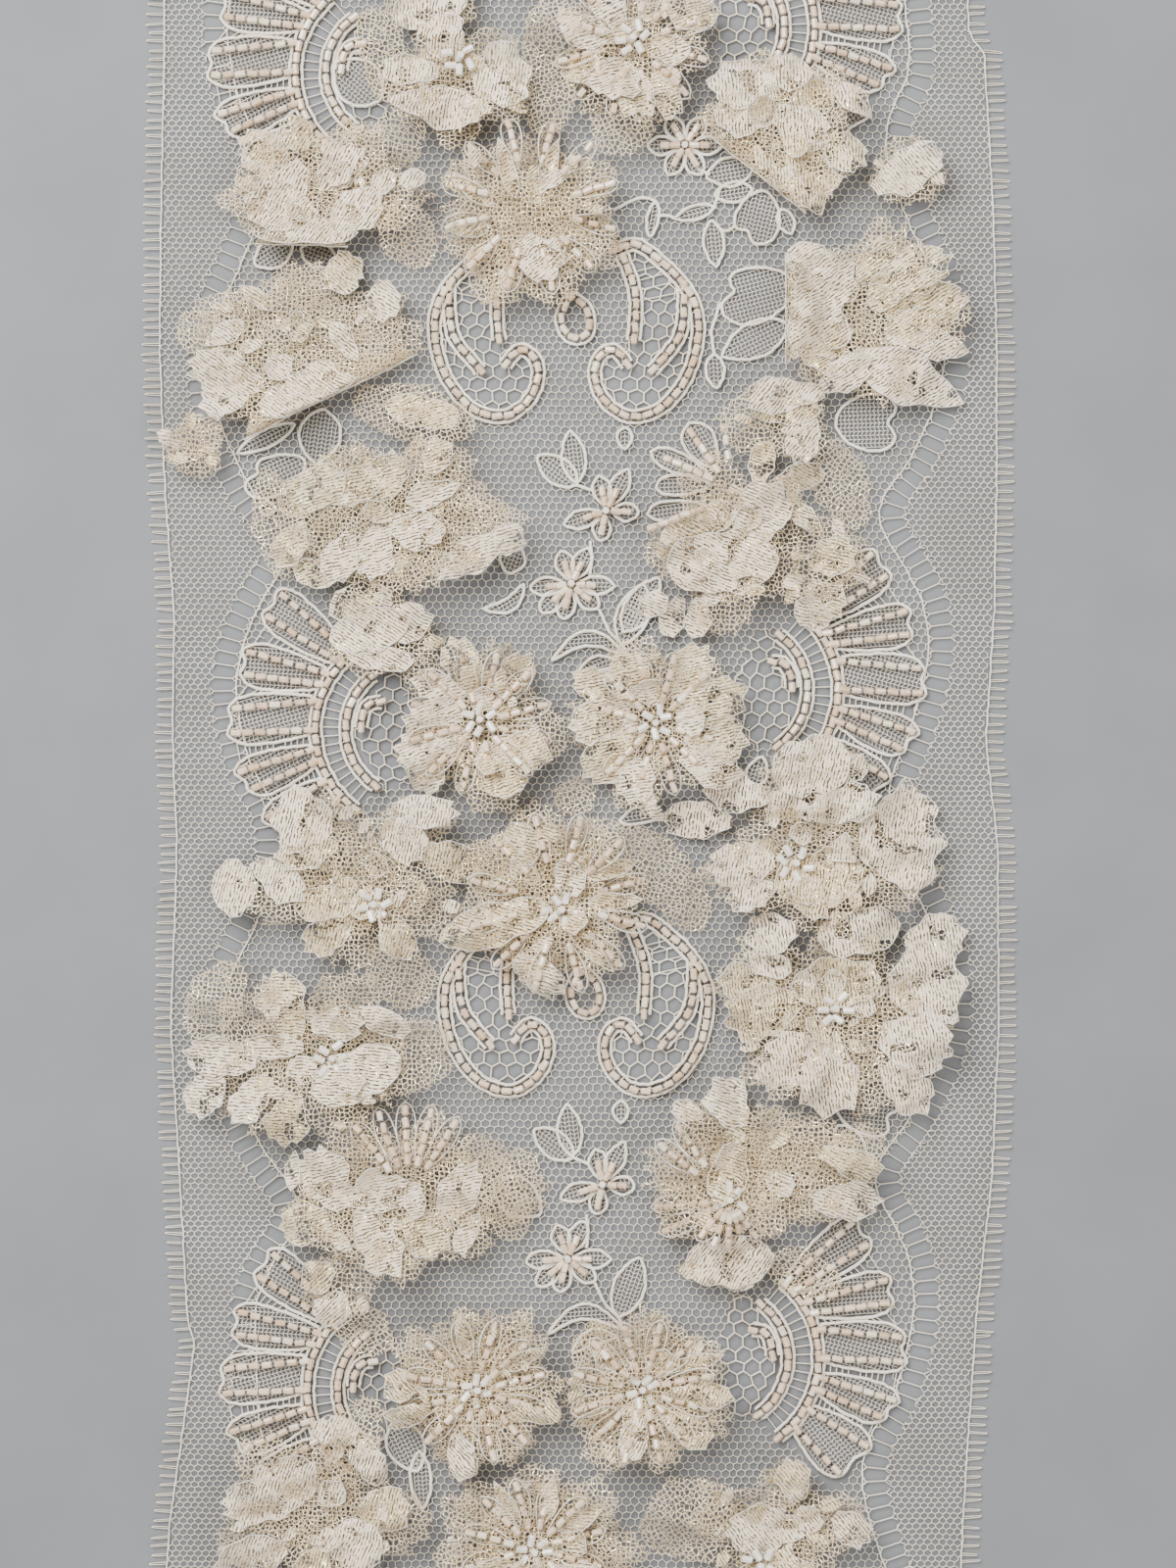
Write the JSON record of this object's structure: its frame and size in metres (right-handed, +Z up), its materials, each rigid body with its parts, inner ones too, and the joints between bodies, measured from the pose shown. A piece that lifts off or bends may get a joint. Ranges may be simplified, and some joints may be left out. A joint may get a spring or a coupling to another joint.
{
  "type": "beaded lace edging",
  "caption": "Cut length of ivory lace galloon with net margins, scalloped slots, beaded fans and scrolls, and sewn-on lace flowers, for edging a garment.",
  "frame": {"origin": "under the middle of the length, midway between the two fringed sides, on the surface the lace lies on", "axes": "+X across the band to the right, +Y along the band, +Z up out of the lace's face"},
  "size_m": [0.2067, 0.4, 0.0115],
  "materials": {
    "lace_ground": "matte",
    "lace_petals": "satin",
    "tulle": "satin",
    "beads": "gloss"
  },
  "bodies": {
    "root": {"ground_lace": "lace_ground", "thread_ends_left": "lace_ground", "thread_ends_right": "lace_ground", "beaded_fan_left_1": "beads", "beaded_fan_left_2": "beads", "beaded_fan_left_3": "beads", "beaded_fan_right_1": "beads", "beaded_fan_right_2": "beads", "beaded_fan_right_3": "beads", "beaded_scroll_left_1": "beads", "beaded_scroll_left_2": "beads", "beaded_scroll_right_1": "beads", "beaded_scroll_right_2": "beads", "sewn_flower_01": "lace_petals", "sewn_flower_02": "lace_petals", "sewn_flower_03": "lace_petals", "sewn_flower_04": "lace_petals", "sewn_flower_05": "lace_petals", "sewn_flower_06": "tulle", "sewn_flower_07": "lace_petals", "sewn_flower_08": "lace_petals", "sewn_flower_09": "lace_petals", "sewn_flower_10": "lace_petals", "sewn_flower_11": "lace_petals", "sewn_flower_12": "lace_petals", "sewn_flower_13": "lace_petals", "sewn_flower_14": "lace_petals", "sewn_flower_15": "lace_petals", "sewn_flower_16": "lace_petals", "sewn_flower_17": "tulle", "sewn_flower_18": "lace_petals", "sewn_flower_19": "lace_petals", "sewn_flower_20": "tulle", "sewn_flower_21": "tulle", "sewn_flower_22": "tulle", "sewn_flower_23": "tulle", "sewn_flower_24": "lace_petals", "sewn_flower_25": "lace_petals", "sewn_flower_26": "lace_petals", "sewn_flower_27": "lace_petals", "sewn_flower_28": "lace_petals", "sewn_flower_29": "lace_petals", "sewn_flower_30": "lace_petals", "sewn_flower_31": "lace_petals", "sewn_flower_32": "lace_petals"}
  },
  "joints": []
}
